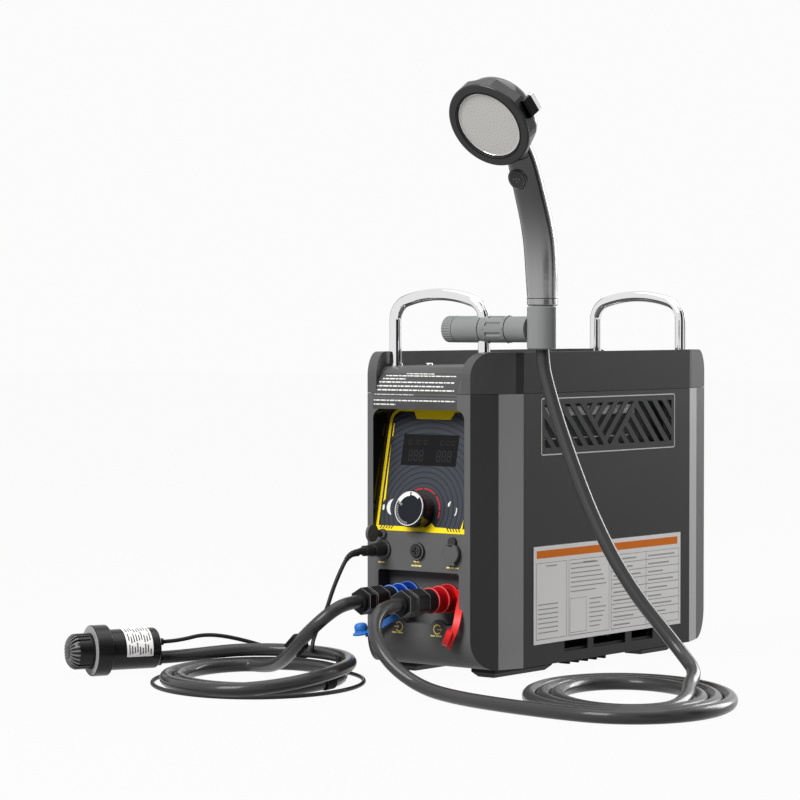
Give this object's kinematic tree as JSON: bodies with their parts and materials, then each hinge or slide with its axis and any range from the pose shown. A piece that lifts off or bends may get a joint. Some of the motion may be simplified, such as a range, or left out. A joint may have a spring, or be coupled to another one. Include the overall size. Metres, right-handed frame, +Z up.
{
  "type": "portable propane water heater",
  "caption": "Box-shaped portable propane water heater with tubular handles, slanted control panel, hand shower in a clamp-on holder, hose coils and a submersible pump.",
  "frame": {"origin": "centre of the case on the floor it stands on", "axes": "+Z up, -Y out of the control end, +X out of the vented side"},
  "size_m": [0.6737, 0.6836, 0.5752],
  "materials": {
    "black_plastic": "fine grain",
    "grey_plastic": "fine grain",
    "holder_plastic": "satin",
    "panel_sheet": "satin",
    "silver_strip": "satin",
    "chrome": "polished",
    "zinc_steel": "zinc plated",
    "control_face": "printed",
    "yellow_trim": "gloss",
    "window": "gloss",
    "circuit_board": "matte",
    "blue_plastic": "gloss",
    "red_plastic": "gloss",
    "copper": "plain",
    "valve_metal": "cast",
    "brass": "machined",
    "handset_shell": "metallic gloss",
    "hose": "semi gloss",
    "cable": "satin"
  },
  "bodies": {
    "case": {"base_pan": "black_plastic", "feet": "black_plastic", "fan_housing": "black_plastic", "pump_socket": "black_plastic", "fuse_holder": "black_plastic", "dc_socket": "black_plastic", "water_ports": "black_plastic", "hose_connectors": "black_plastic", "pump_plug": "black_plastic", "pump_body": "black_plastic", "pump_strainer": "black_plastic", "flow_sensor": "black_plastic", "front_cap": "grey_plastic", "rear_cap": "grey_plastic", "top_cover": "grey_plastic", "holder_clamp": "holder_plastic", "holder_cradle": "holder_plastic", "right_side_panel": "panel_sheet", "left_side_panel": "panel_sheet", "corner_strips": "silver_strip", "front_handle": "chrome", "rear_handle": "chrome", "cover_screws": "zinc_steel", "handle_nuts": "zinc_steel", "inner_frame": "zinc_steel", "flue_hood": "zinc_steel", "burner": "zinc_steel", "control_panel": "control_face", "panel_trim": "yellow_trim", "display_window": "window", "control_board": "circuit_board", "inlet_collar": "blue_plastic", "outlet_collar": "red_plastic", "heat_exchanger": "copper", "cold_water_pipes": "copper", "hot_water_pipe": "copper", "gas_pipe": "copper", "gas_valve": "valve_metal", "gas_inlet_fitting": "brass", "outlet_hose_front": "hose", "outlet_hose_coil": "hose", "outlet_hose_riser": "hose", "inlet_hose_front": "hose", "inlet_hose_coil": "hose", "inlet_hose_tail": "hose", "pump_cable": "cable"},
    "knob": {"control_knob": "black_plastic"},
    "fuse_cap": {"fuse_cap": "black_plastic"},
    "dc_cap": {"dc_socket_cap": "black_plastic"},
    "pump_cap": {"pump_socket_cap": "black_plastic"},
    "clamp_knob": {"holder_clamp_knob": "holder_plastic"},
    "handset": {"handset_body": "handset_shell", "spray_plate": "zinc_steel"},
    "button": {"stop_button": "handset_shell"},
    "spray_selector": {"spray_ring": "handset_shell", "mode_lever": "chrome"},
    "fan": {"fan_wheel": "black_plastic"},
    "impeller": {"pump_impeller": "black_plastic"},
    "inlet_nut": {"inlet_union_nut": "black_plastic"},
    "outlet_nut": {"outlet_union_nut": "black_plastic"}
  },
  "joints": [
    {"name": "knob_turn", "type": "hinge", "parent": "case", "child": "knob", "pos_m": [-0.003, -0.20185, 0.16193], "axis": [0, -0.977, 0.213], "range_deg": [-165, 105]},
    {"name": "fuse_cap_turn", "type": "hinge", "parent": "case", "child": "fuse_cap", "pos_m": [0, -0.21, 0.124], "axis": [0, -1, 0], "range_deg": [0, 90]},
    {"name": "dc_cap_lift", "type": "hinge", "parent": "case", "child": "dc_cap", "pos_m": [0.043, -0.2158, 0.1322], "axis": [-1, 0, 0], "range_deg": [0, 110]},
    {"name": "pump_cap_swivel", "type": "hinge", "parent": "case", "child": "pump_cap", "pos_m": [-0.043, -0.21, 0.1395], "axis": [0, 1, 0], "range_deg": [-30, 90]},
    {"name": "clamp_knob_turn", "type": "hinge", "parent": "case", "child": "clamp_knob", "pos_m": [0.017, -0.176, 0.34], "axis": [-1, 0, 0], "range_deg": [0, 360]},
    {"name": "handset_lift", "type": "slide", "parent": "case", "child": "handset", "axis": [0, 0, 1], "range_m": [0, 0.06]},
    {"name": "stop_button_press", "type": "slide", "parent": "handset", "child": "button", "axis": [0, 0.9217, 0.3879], "range_m": [0, 0.003], "stiffness_N_per_m": 300},
    {"name": "spray_selector_turn", "type": "hinge", "parent": "handset", "child": "spray_selector", "pos_m": [0.1235, -0.264, 0.5293], "axis": [0, -0.848, -0.5299], "range_deg": [-30, 30]},
    {"name": "fan_spin", "type": "hinge", "parent": "case", "child": "fan", "pos_m": [0, 0.02, 0.025], "axis": [0, 0, 1], "continuous": true},
    {"name": "impeller_spin", "type": "hinge", "parent": "case", "child": "impeller", "pos_m": [-0.232, -0.335, 0.025], "axis": [-0.4392, -0.8984, 0], "continuous": true},
    {"name": "inlet_nut_turn", "type": "hinge", "parent": "case", "child": "inlet_nut", "pos_m": [-0.0245, -0.245, 0.078], "axis": [0, -1, 0], "range_deg": [0, 360]},
    {"name": "outlet_nut_turn", "type": "hinge", "parent": "case", "child": "outlet_nut", "pos_m": [0.0245, -0.245, 0.078], "axis": [0, -1, 0], "range_deg": [0, 360]}
  ]
}
